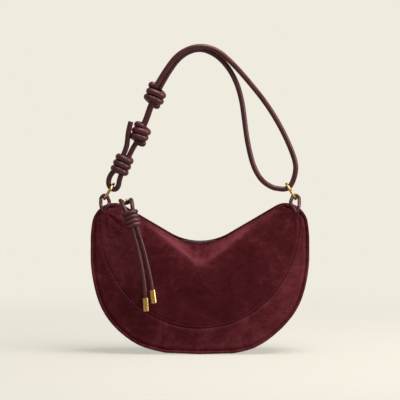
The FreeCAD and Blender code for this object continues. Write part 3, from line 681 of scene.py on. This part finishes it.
def lower_band(side, seed):
    place = placer(side)
    end_angle = seam_meeting(0, EDGE_INSET)
    top = resample(seam(0, EDGE_INSET), BAND_COLUMNS)
    bottom = resample(skirt(EDGE_INSET, end_angle), BAND_COLUMNS)
    vertices = []
    nap_and_painted_light = []
    for number in range(BAND_ROWS + 1):
        share = eased(number / BAND_ROWS, BAND_EASE)
        for upper, lower in zip(top, bottom):
            point = upper.lerp(lower, share)
            vertices.append(place(point.x, point.y, relief(point.x, point.y, seed)))
            # painted light of the crescent, lighter towards the right
            nap_and_painted_light.append(band_painted_light(point.x))
    faces = grid_faces(BAND_ROWS + 1, BAND_COLUMNS + 1)
    band = mesh_piece(f"{side}_crescent", vertices, faces, SUEDE, "bag", [f"{side}_lower_band"])
    set_nap_and_painted_light(band, nap_and_painted_light)


def tube_mesh(points, radii, sides, up):
    """Closed tube along points in space, with its section kept upright to a given direction."""
    vertices = []
    count = len(points)
    for number, (point, radius) in enumerate(zip(points, radii)):
        ahead = points[min(number + 1, count - 1)] - points[max(number - 1, 0)]
        ahead.normalize()
        across = ahead.cross(up).normalized()
        over = across.cross(ahead)
        for corner in range(sides):
            angle = 2 * math.pi * corner / sides
            vertices.append(point + (across * math.cos(angle) + over * math.sin(angle)) * radius)
    faces = []
    for ring in range(count - 1):
        for corner in range(sides):
            after = (corner + 1) % sides
            faces.append((ring * sides + corner, ring * sides + after,
                          (ring + 1) * sides + after, (ring + 1) * sides + corner))
    faces.append(tuple(reversed(range(sides))))
    faces.append(tuple(range((count - 1) * sides, count * sides)))
    return vertices, faces


PIPING_POINTS = 900
PIPING_SIDES = 14
PIPING_LUMP = 9
PIPING_UNEVEN = 0.05
PIPING_EASE = 0.02


def piping(side, seed):
    place = placer(side)
    line = resample(skirt(PIPING_INSET), PIPING_POINTS)
    points = [place(point.x, point.y, 0) for point in line]
    lumps = [noise.noise(Vector((number / PIPING_LUMP, seed, 0))) for number in range(len(points))]
    radii = [PIPING_RADIUS * (1 + PIPING_UNEVEN * lump) - PIPING_EASE for lump in lumps]
    up = place(0, 0, 1) - place(0, 0, 0)
    vertices, faces = tube_mesh(points, radii, PIPING_SIDES, up)
    vertices = [Vector((vertex.x, vertex.y, max(vertex.z, 0))) for vertex in vertices]
    cover = mesh_piece(f"{side}_piping_cover", vertices, faces, SUEDE, "bag", [f"{side}_piping"])
    set_nap_and_painted_light(cover, [PIPING_NAP] * len(vertices))


GUSSET_COLUMNS = 520
GUSSET_ROWS = 22
GUSSET_INSET = 0.9
GUSSET_INNER = 4.0
GUSSET_EDGE = 1.2
GUSSET_LOWEST = 0.05
GUSSET_SAG = 0.9
GUSSET_TUCK = (1.1, 1.2)
# Ripples of the gusset have a length in columns, and its dents a length in ripples
RIPPLE_DEPTH = 0.55
RIPPLE_COLUMNS = 7.0
RIPPLE_ACROSS = 1.5
RIPPLE_SEED = 5
DENT_DEPTH = 0.8
DENT_RIPPLES = 3
DENT_SEED = 9


def gusset():
    """Strip round the sides and base, between the two lines of piping."""
    outline = resample(skirt(GUSSET_INSET), GUSSET_COLUMNS)
    inner = resample(skirt(GUSSET_INNER), GUSSET_COLUMNS)
    vertices = []
    for row in range(GUSSET_ROWS + 1):
        across = 2 * row / GUSSET_ROWS - 1
        for number, (point, within) in enumerate(zip(outline, inner)):
            half = HALF_DEPTH - point.y * math.sin(PANEL_LEAN) - GUSSET_EDGE
            along = number / RIPPLE_COLUMNS
            ripple = noise.noise(Vector((along, across * RIPPLE_ACROSS, RIPPLE_SEED)))
            dent = max(0, noise.noise(Vector((along / DENT_RIPPLES, across, DENT_SEED))))
            sag = GUSSET_SAG * (1 - across ** 2)
            sag += (1 - across ** 4) * RIPPLE_DEPTH * ripple
            sag += (1 - across ** 2) * DENT_DEPTH * dent
            sunk = sag + tuck((1 - abs(across)) * half, GUSSET_TUCK)
            spot = point + (within - point).normalized() * sunk
            height = max(spot.y * math.cos(PANEL_LEAN), GUSSET_LOWEST)
            vertices.append(Vector((spot.x, across * half, height)))
    faces = grid_faces(GUSSET_ROWS + 1, GUSSET_COLUMNS + 1)
    mesh_piece("gusset_suede", vertices, faces, SUEDE, "bag", ["gusset"])


# Stitches: short threads that lie in the suede. A shape's rows are place along it, width and lift.
STITCH_PITCH = 3.5
STITCH_LENGTH = 2.5
STITCH_RADIUS = 0.42
STITCH_SIDES = 6
INNER_ROW_INSET = EDGE_INSET + 2
STITCH_SHAPE = [
    (-1.0, 0.25, -0.35), (-0.55, 0.9, 0.05), (0.0, 1.0, 0.18), (0.55, 0.9, 0.05), (1.0, 0.25, -0.35),
]


def stitches(name, side, lines, seed):
    place = placer(side)
    up = place(0, 0, 1) - place(0, 0, 0)
    vertices = []
    faces = []
    for line in lines:
        count = int(line_length(line) / STITCH_PITCH)
        spots = resample(line, 2 * count)
        for number in range(1, 2 * count, 2):
            middle = spots[number]
            heading = (spots[number + 1] - spots[number - 1]).normalized()
            points = []
            for along, width, lift in STITCH_SHAPE:
                spot = middle + heading * (along * STITCH_LENGTH / 2)
                points.append(place(spot.x, spot.y, relief(spot.x, spot.y, seed) + lift))
            radii = [width * STITCH_RADIUS for along, width, lift in STITCH_SHAPE]
            tube, tube_faces = tube_mesh(points, radii, STITCH_SIDES, up)
            start = len(vertices)
            vertices += tube
            faces += [tuple(start + corner for corner in face) for face in tube_faces]
    mesh_piece(name, vertices, faces, THREAD, "bag")


for side, seed in (("front", 1.7), ("back", 5.3)):
    upper_panel(side, seed)
    lower_band(side, seed)
    piping(side, seed)
    seam_rows = [seam(STITCH_OFFSET, INNER_ROW_INSET), seam(-STITCH_OFFSET, EDGE_INSET)]
    stitches(f"{side}_seam_stitches", side, seam_rows, seed)
    stitches(f"{side}_mouth_stitches", side, [mouth(RIM_STITCH)], seed)
gusset()


# Cords: the route's points steer one smooth spline
def cord_piece(name, points, diameter, material, body, replaced=()):
    curve = bpy.data.curves.new(name, "CURVE")
    curve.dimensions = "3D"
    spline = curve.splines.new("NURBS")
    spline.points.add(len(points) - 1)
    for target, point in zip(spline.points, points):
        target.co = tuple(Vector(point) * MM) + (1,)
    spline.order_u = 3
    spline.use_endpoint_u = True
    spline.resolution_u = 12
    curve.bevel_depth = diameter / 2 * MM
    curve.bevel_resolution = 6
    curve.use_fill_caps = True
    curve.materials.append(material)
    piece = bpy.data.objects.new(name, curve)
    scene.collection.objects.link(piece)
    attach(piece, body)
    if replaced:
        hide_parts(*replaced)
    return piece


STRAP_CORD = 7.0
LINK_CORD = 8.4
PULL_CORD = 5.5
RING_LOOP_CORD = 4.7
KNOT_HALF = 13.6
STRAND_SIDE = 3.8


def leaning(degrees):
    angle = math.radians(degrees)
    return Vector((math.sin(angle), 0, math.cos(angle)))


KNOTS = {
    "upper": (Vector((-59.3, 0, 342)), leaning(23)),
    "middle": (Vector((-77.8, 0, 294.6)), leaning(22)),
    "lower": (Vector((-100.2, 0, 256.4)), leaning(25)),
}


def by_knot(name, along, beside=0, depth=0):
    """Point by a knot: along its axis, beside it in the front view, and in depth."""
    centre, axis = KNOTS[name]
    return centre + axis * along + Vector((axis.z, 0, -axis.x)) * beside + Vector((0, depth, 0))


def strap_cord(node, points, diameter=STRAP_CORD):
    return cord_piece(f"{node}_cord", points, diameter, LEATHER, "strap", [node])


STRAP_ROUTE = [
    by_knot("upper", KNOT_HALF - 4, -STRAND_SIDE, -2.6),
    (-45.5, -3.2, 375.5), (-28, -3.3, 397.5), (-3, -3.3, 407.5), (22, -3.1, 402.5), (44.5, -2.4, 382.5),
    (66, -2, 358), (87, -1.6, 332), (105, -1.2, 303.5), (119, -0.8, 275), (128, -0.3, 250), (126.5, 0, 235),
    (122.3, 0, 223.5), (117.6, 0, 217.6), (110.8, 0, 216.2), (104.5, 0, 217.2), (97, 0, 218.2),
    (83, 0.4, 226.5), (72.5, 0.8, 243), (66.5, 1.2, 263), (61.8, 1.6, 287), (58.8, 2, 311), (55.5, 2.2, 335),
    (48.5, 2.4, 359), (37, 2.8, 379.5), (20.5, 3.2, 396), (-1, 3.5, 404), (-23.5, 3.5, 395.5),
    (-41, 3.4, 374), by_knot("upper", KNOT_HALF - 4, STRAND_SIDE - 2, 3.4),
]
strap = strap_cord("strap_loop", STRAP_ROUTE)
upper_link = strap_cord("strap_link_upper", [
    by_knot("middle", 0), by_knot("middle", 16, 0.6), by_knot("upper", -19, 0.4), by_knot("upper", -4),
], LINK_CORD)
lower_link = strap_cord("strap_link_lower", [
    by_knot("lower", -4, STRAND_SIDE), by_knot("lower", KNOT_HALF, STRAND_SIDE - 0.6),
    by_knot("middle", -17), by_knot("middle", -7),
])
tail = strap_cord("strap_tail", [
    by_knot("lower", -4, -STRAND_SIDE), by_knot("lower", KNOT_HALF, -STRAND_SIDE),
    (-96.2, -3.5, 282), (-95, -5.5, 294.5), (-91.6, -6, 306.4),
])
EYE_ROUTE = [
    by_knot("lower", -KNOT_HALF, -STRAND_SIDE), (-117.2, 0, 238.5), (-121.6, 0, 230), (-121.6, 0, 221.4),
    (-117, 0, 216.2), (-111.4, 0, 216.4), (-108.2, 0, 221.5), (-107.2, 0, 230),
    by_knot("lower", -KNOT_HALF, STRAND_SIDE),
]
eye = strap_cord("strap_eye", EYE_ROUTE)


# Knots: one cord wound about the strands, its ends tucked in
TURN_POINTS = 12
WOBBLE = 0.04
WOBBLE_RATE = 2.3
END_AHEAD = 0.45
END_BEND = 0.35
END_LEFT = 0.12
END_LIFT = 0.6


def wound(name, node, centre, axis, wide, deep, turns, pitch, start, front, diameter, body):
    """Winding round an axis: the front of each turn climbs by a share of the pitch, the back by the rest.

    Each end runs on a little, bends inwards and stops near the axis.
    """
    side = axis.cross(Vector((0, 1, 0))).normalized()
    depth = axis.cross(side).normalized()
    total = round(turns * TURN_POINTS)
    points = []
    for number in range(total + 1):
        angle = start / 360 + number / TURN_POINTS
        part = angle % 1
        climb = 2 * front * part if part < 0.5 else front + 2 * (1 - front) * (part - 0.5)
        height = math.floor(angle) + climb - start / 360 - turns / 2
        turn = 2 * math.pi * angle
        uneven = 1 + WOBBLE * math.sin(WOBBLE_RATE * turn / 2 + start)
        around = side * (wide * math.cos(turn)) + depth * (deep * math.sin(turn))
        points.append(centre + axis * (pitch * height) + around * uneven)
    for end, after, sign in ((0, 2, -1), (-1, -3, 1)):
        tip = points[end]
        ahead = (tip - points[after]) * END_AHEAD
        inner = centre + axis * (tip - centre).dot(axis)
        bend = tip + ahead + (inner - tip) * END_BEND
        last = inner + (tip - inner) * END_LEFT + axis * (sign * END_LIFT)
        points = [last, bend] + points if end == 0 else points + [bend, last]
    return cord_piece(name, points, diameter, LEATHER, body, [node])


# Strap knots: shift along the strap, angle of the start, turns, pitch, half width and share climbed in front
WRAP_CORD = 9.0
WRAP_DEPTH = 8.0
WINDINGS = (
    ("upper", 0.0, 230, 2.3, 8.3, 9.8, 0.10),
    ("middle", -4.6, 190, 2.5, 8.1, 8.6, 0.45),
    ("lower", -6.2, 350, 2.56, 8.2, 8.5, 0.05),
)
for name, drop, start, turns, pitch, wide, front in WINDINGS:
    wound(f"{name}_knot", f"strap_knot_{name}", by_knot(name, drop), KNOTS[name][1],
                             wide, WRAP_DEPTH, turns, pitch, start, front, WRAP_CORD, "strap")

# Zip pull: a loop through the small ring, a knot, and two tails
PULL_KNOT = Vector((-89.5, -31, 178.5))
PULL_AXIS = Vector((-0.24, 0.14, 0.96)).normalized()
PULL_WRAP_CORD = 6.0
pull_side = Vector((PULL_AXIS.z, 0, -PULL_AXIS.x)).normalized()


def by_pull(along, beside):
    """Point by the knot of the pull: along its axis and beside it in the front view."""
    return PULL_KNOT + PULL_AXIS * along + pull_side * beside


wound("pull_wrap", "pull_knot", PULL_KNOT + PULL_AXIS, PULL_AXIS, wide=7.7, deep=6.2, turns=3.56, pitch=5.5,
      start=350, front=0.15, diameter=PULL_WRAP_CORD, body="pull")
cord_piece("pull_loop_cord", [
    by_pull(4, -2.9), (-98.5, -29.5, 190), (-103, -21, 199.5), (-106, -12, 202.5),
    (-105, -5, 200.5), (-98.5, -2.7, 197.5), (-93, -5, 201), (-91.5, -13, 204), (-90, -22.5, 200.5),
    (-88.6, -29.5, 190), by_pull(4, 2.9),
], PULL_CORD, LEATHER, "pull", ["pull_loop"])
TAILS = {
    "left": [by_pull(-4.5, -3.05), (-84.5, -34, 149), (-79, -36.3, 128),
             (-75, -38.3, 106), (-72.3, -40, 84), (-71.2, -41, 66.5)],
    "right": [by_pull(-7.8, 3.05), (-78, -34, 151.5), (-72.5, -36.2, 132),
              (-68, -38, 113), (-64, -39.4, 95), (-61.6, -40.4, 77)],
}
for side, length in (("left", 0.1096), ("right", 0.0981)):
    piece = cord_piece(f"pull_cord_{side}", TAILS[side], PULL_CORD, LEATHER, f"tail_{side}",
                       [f"pull_tail_{side}"])

# Leather loops that hold the rings, sewn to the front: the route of the right one
RING_LOOP = [
    (129, -12.2, 186.5), (130.5, -12.4, 192), (131.8, -9, 196.5), (132, -3, 200.5), (132, -0.5, 205),
    (128, 0, 208.8), (123.5, -0.5, 207.5), (122, -3, 203.5), (120, -7, 199.8), (121.5, -12.5, 196),
    (125, -12.5, 190.5), (127.5, -12.2, 186.5),
]
for side, sign in (("left", -1), ("right", 1)):
    route = [(sign * x, y, z) for x, y, z in RING_LOOP]
    cord_piece(f"ring_loop_{side}", route, RING_LOOP_CORD, LEATHER, "bag",
               [f"anchor_loop_{side}"])

# Brass hardware and the base board keep their solids
for node in ("ring_left", "ring_right", "pull_ring", "zip_slider", "tail_cap_left", "tail_cap_right",
             "zip_top_stops", "zip_bottom_stop"):
    nodes[node].data.materials.clear()
    nodes[node].data.materials.append(BRASS)
nodes["base_stiffener"].data.materials.clear()
nodes["base_stiffener"].data.materials.append(BOARD)


# Lining: thin cloth inside the panels and the gusset
LINING_LEVEL = -2.8
LINING_DROP = 5.0
LINING_INSET = EDGE_INSET + 2.0
LINING_COLUMNS = 120
LINING_ROWS = 40
LINING_CREASE = 0.35
CREASE_ACROSS = 14
CREASE_UP = 22
STRIP_COLUMNS = 300
STRIP_ROWS = 12
STRIP_INSET = 2.4
STRIP_EDGE = 3.4
STRIP_LEVEL = 0.4
STRIP_CREASE = 0.3
STRIP_CREASE_SIZE = 12
STRIP_CREASE_TURNS = 3


def lining_panel(side, seed):
    place = placer(side)
    top = resample(mouth(LINING_DROP), LINING_COLUMNS)
    bottom = resample(skirt(LINING_INSET), LINING_COLUMNS)
    vertices = []
    for number in range(LINING_ROWS + 1):
        for upper, lower in zip(top, bottom):
            point = upper.lerp(lower, number / LINING_ROWS)
            crease = noise.noise(Vector((point.x / CREASE_ACROSS, point.y / CREASE_UP, seed)))
            vertices.append(place(point.x, point.y, LINING_LEVEL + LINING_CREASE * crease))
    faces = grid_faces(LINING_ROWS + 1, LINING_COLUMNS + 1)
    mesh_piece(f"{side}_lining_cloth", vertices, faces, LINING, "bag", [f"{side}_lining"])


def gusset_lining():
    line = resample(skirt(STRIP_INSET), STRIP_COLUMNS)
    vertices = []
    for number in range(STRIP_ROWS + 1):
        share = 2 * number / STRIP_ROWS - 1
        for point in line:
            half = HALF_DEPTH - point.y * math.sin(PANEL_LEAN) - STRIP_EDGE
            x, s = point.x / STRIP_CREASE_SIZE, point.y / STRIP_CREASE_SIZE
            level = STRIP_LEVEL + STRIP_CREASE * noise.noise(Vector((x, s, share * STRIP_CREASE_TURNS)))
            spot = point + (belly_centre - point).normalized() * level
            vertices.append(Vector((spot.x, share * half, spot.y * math.cos(PANEL_LEAN))))
    faces = grid_faces(STRIP_ROWS + 1, len(line))
    mesh_piece("gusset_lining_cloth", vertices, faces, LINING, "bag", ["gusset_lining"])


for side, seed in (("front", 2.1), ("back", 7.9)):
    lining_panel(side, seed)
gusset_lining()

# Zip along the mouth: two tapes and two rows of teeth
ZIP_CENTRE = Vector((0, 0, 299.380))
ZIP_RADIUS = 153.8
ZIP_HALF = 113.77
ZIP_END_GAP = 0.3
TAPE_INNER = 3.5
TAPE_EDGE = 2.0
TAPE_THICKNESS = 0.9
TAPE_COLUMNS = 220
TAPE_ROWS = 7
TAPE_RIPPLE = 0.10
TAPE_RIPPLE_RATE = 1.9
TAPE_CREASE = 0.12
TAPE_CREASE_SIZE = 9
SLIDER_PLACE = 6.0
TOOTH_THICKNESS = 1.3
TOOTH_STEP = 3.2
FRONT_TEETH = 77
BACK_TEETH = 76
# A tooth: corners of its section, then each station's reach from the middle and size
TOOTH_SECTION = [
    (-0.65, -0.5), (-0.5, -0.8), (0.5, -0.8), (0.65, -0.5),
    (0.65, 0.5), (0.5, 0.8), (-0.5, 0.8), (-0.65, 0.5),
]
TOOTH_STATIONS = [(3.2, 0.92), (3.0, 1.0), (0.4, 1.0), (0.0, 0.86), (-0.5, 0.94), (-0.8, 0.8), (-0.9, 0.5)]


def on_zip(angle, y, above=0.0):
    """Point by the zip's arc, at an angle from its middle."""
    reach = ZIP_RADIUS - above
    return Vector((reach * math.sin(angle), y, ZIP_CENTRE.z - reach * math.cos(angle)))


tape_angle = math.asin((ZIP_HALF - ZIP_END_GAP) / ZIP_RADIUS)


def zip_tape(side, sign):
    vertices = []
    for face in (0.5, -0.5):
        for row in range(TAPE_ROWS + 1):
            for column in range(TAPE_COLUMNS + 1):
                angle = tape_angle * (2 * column / TAPE_COLUMNS - 1)
                middle = on_zip(angle, 0)
                outer = HALF_DEPTH - middle.z * math.tan(PANEL_LEAN) - TAPE_EDGE
                ripple = TAPE_RIPPLE * math.sin(row * TAPE_RIPPLE_RATE)
                ripple += TAPE_CREASE * noise.noise(Vector((middle.x / TAPE_CREASE_SIZE, row, sign)))
                width = TAPE_INNER + (outer - TAPE_INNER) * row / TAPE_ROWS
                vertices.append(on_zip(angle, sign * width, face * TAPE_THICKNESS + ripple))
    across, along = TAPE_ROWS + 1, TAPE_COLUMNS + 1
    layer = across * along
    faces = grid_faces(across, along)
    faces += [tuple(reversed(face)) for face in grid_faces(across, along, layer)]
    border = list(range(along))
    border += [row * along + TAPE_COLUMNS for row in range(1, across)]
    border += [TAPE_ROWS * along + column for column in range(TAPE_COLUMNS - 1, -1, -1)]
    border += [row * along for row in range(TAPE_ROWS - 1, 0, -1)]
    for first, second in zip(border, border[1:] + border[:1]):
        faces.append((first, first + layer, second + layer, second))
    mesh_piece(f"{side}_zip_tape", vertices, faces, TAPE, "bag", [f"zip_tape_{side}"])


def zip_teeth(side, sign, count, offset):
    """Teeth of a closed, dyed zip, each with a rounded head that reaches over the middle."""
    along = 1 / ZIP_RADIUS
    start = along * (SLIDER_PLACE + TOOTH_THICKNESS) - tape_angle
    corners = len(TOOTH_SECTION)
    vertices = []
    faces = []
    for number in range(count):
        angle = start + along * TOOTH_STEP * (number + offset)
        first = len(vertices)
        for reach, size in TOOTH_STATIONS:
            for length, height in TOOTH_SECTION:
                vertices.append(on_zip(angle + along * length * size, sign * reach, height * size))
        last = len(vertices) - corners
        for ring in range(first, last, corners):
            for corner in range(corners):
                after = (corner + 1) % corners
                faces.append((ring + corner, ring + after, ring + corners + after, ring + corners + corner))
        faces.append(tuple(first + corner for corner in reversed(range(corners))))
        faces.append(tuple(last + corner for corner in range(corners)))
    mesh_piece(f"{side}_zip_teeth", vertices, faces, TOOTH, "bag", [f"zip_teeth_{side}"])


zip_tape("front", -1)
zip_tape("back", 1)
zip_teeth("front", -1, FRONT_TEETH, 0)
zip_teeth("back", 1, BACK_TEETH, 0.5)

# Studio, in metres: pale floor that fades into a pale surround, soft light from the upper right
BACKDROP = (0.863, 0.831, 0.738)
AMBIENT = (0.98, 0.97, 0.95)
AMBIENT_LEVEL = 0.14
MIRRORED_LEVEL = 0.45
FLOOR_COLOR = (0.80, 0.765, 0.685)
FLOOR_HALF = 2
FLOOR_DROP = 0.0002
FADE_FROM = 0.22
FADE_TO = 0.85
FADE_LEAST = 0.58


def mixed(tree, factor, first, second):
    mix = tree.nodes.new("ShaderNodeMixShader")
    for socket, source in zip(mix.inputs, (factor, first, second)):
        tree.links.new(source, socket)
    return mix.outputs[0]


def background(tree, color, level):
    item = tree.nodes.new("ShaderNodeBackground")
    item.inputs["Color"].default_value = color + (1,)
    item.inputs["Strength"].default_value = level
    return item.outputs[0]


def floor_material():
    """Matt floor that clears with distance from the bag."""
    material = bpy.data.materials.new("floor")
    material.use_nodes = True
    tree = material.node_tree
    tree.nodes.clear()
    output = tree.nodes.new("ShaderNodeOutputMaterial")
    place = tree.nodes.new("ShaderNodeTexCoord")
    length = tree.nodes.new("ShaderNodeVectorMath")
    length.operation = "LENGTH"
    tree.links.new(place.outputs["Object"], length.inputs[0])
    fade = tree.nodes.new("ShaderNodeMapRange")
    fade.interpolation_type = "SMOOTHSTEP"
    fade.inputs["From Min"].default_value = FADE_FROM
    fade.inputs["From Max"].default_value = FADE_TO
    fade.inputs["To Min"].default_value = FADE_LEAST
    tree.links.new(length.outputs["Value"], fade.inputs["Value"])
    matt = tree.nodes.new("ShaderNodeBsdfDiffuse")
    matt.inputs["Color"].default_value = FLOOR_COLOR + (1,)
    clear = tree.nodes.new("ShaderNodeBsdfTransparent")
    surface = mixed(tree, fade.outputs["Result"], matt.outputs[0], clear.outputs[0])
    tree.links.new(surface, output.inputs["Surface"])
    return material


floor_mesh = bpy.data.meshes.new("floor")
floor_corners = [(FLOOR_HALF * x, FLOOR_HALF * y, 0) for x, y in ((-1, -1), (1, -1), (1, 1), (-1, 1))]
floor_mesh.from_pydata(floor_corners, [], [(0, 1, 2, 3)])
floor = bpy.data.objects.new("floor", floor_mesh)
floor.location.z = -FLOOR_DROP
floor_mesh.materials.append(floor_material())
scene.collection.objects.link(floor)


def studio_world():
    """Pale surround for the camera, a dimmer one for reflections and a faint light for the rest."""
    world = bpy.data.worlds.new("studio")
    world.use_nodes = True
    tree = world.node_tree
    tree.nodes.clear()
    output = tree.nodes.new("ShaderNodeOutputWorld")
    path = tree.nodes.new("ShaderNodeLightPath")
    shown = tree.nodes.new("ShaderNodeMath")
    shown.operation = "MAXIMUM"
    tree.links.new(path.outputs["Is Camera Ray"], shown.inputs[0])
    tree.links.new(path.outputs["Is Transmission Ray"], shown.inputs[1])
    unseen = mixed(tree, path.outputs["Is Glossy Ray"], background(tree, AMBIENT, AMBIENT_LEVEL),
                   background(tree, BACKDROP, MIRRORED_LEVEL))
    surface = mixed(tree, shown.outputs[0], unseen, background(tree, BACKDROP, 1.0))
    tree.links.new(surface, output.inputs["Surface"])
    return world


scene.world = studio_world()


def aimed(item, place, target):
    item.location = place
    item.rotation_euler = (Vector(target) - Vector(place)).to_track_quat("-Z", "Y").to_euler()
    scene.collection.objects.link(item)


# Lamps, all aimed at the middle of the bag: place, width, height, power and colour
CENTRE = (0, 0, 0.16)
LAMPS = {
    "key": ((0.40, -0.25, 1.65), 1.2, 1.2, 29, (1, 0.98, 0.95)),
    "side": ((1.50, -0.50, 0.60), 0.7, 0.9, 14, (1, 0.99, 0.97)),
    "fill": ((-1.5, -1.9, 0.8), 1.2, 1.2, 1.2, (0.98, 0.99, 1)),
}
for name, (place, width, height, power, color) in LAMPS.items():
    light = bpy.data.lights.new(name, "AREA")
    light.shape = "RECTANGLE"
    light.size = width
    light.size_y = height
    light.energy = power
    light.color = color
    aimed(bpy.data.objects.new(name, light), place, CENTRE)

camera_data = bpy.data.cameras.new("camera")
camera_data.lens = 202.8
camera_data.sensor_width = 36.0
camera = bpy.data.objects.new("camera", camera_data)
AIM = Vector((0, 0, 0.2020))
VIEW_ANGLE = math.radians(3.5)
VIEW_DISTANCE = 3.0
aimed(camera, AIM + Vector((0, -math.cos(VIEW_ANGLE), math.sin(VIEW_ANGLE))) * VIEW_DISTANCE, AIM)
scene.camera = camera
scene.view_settings.view_transform = "Standard"
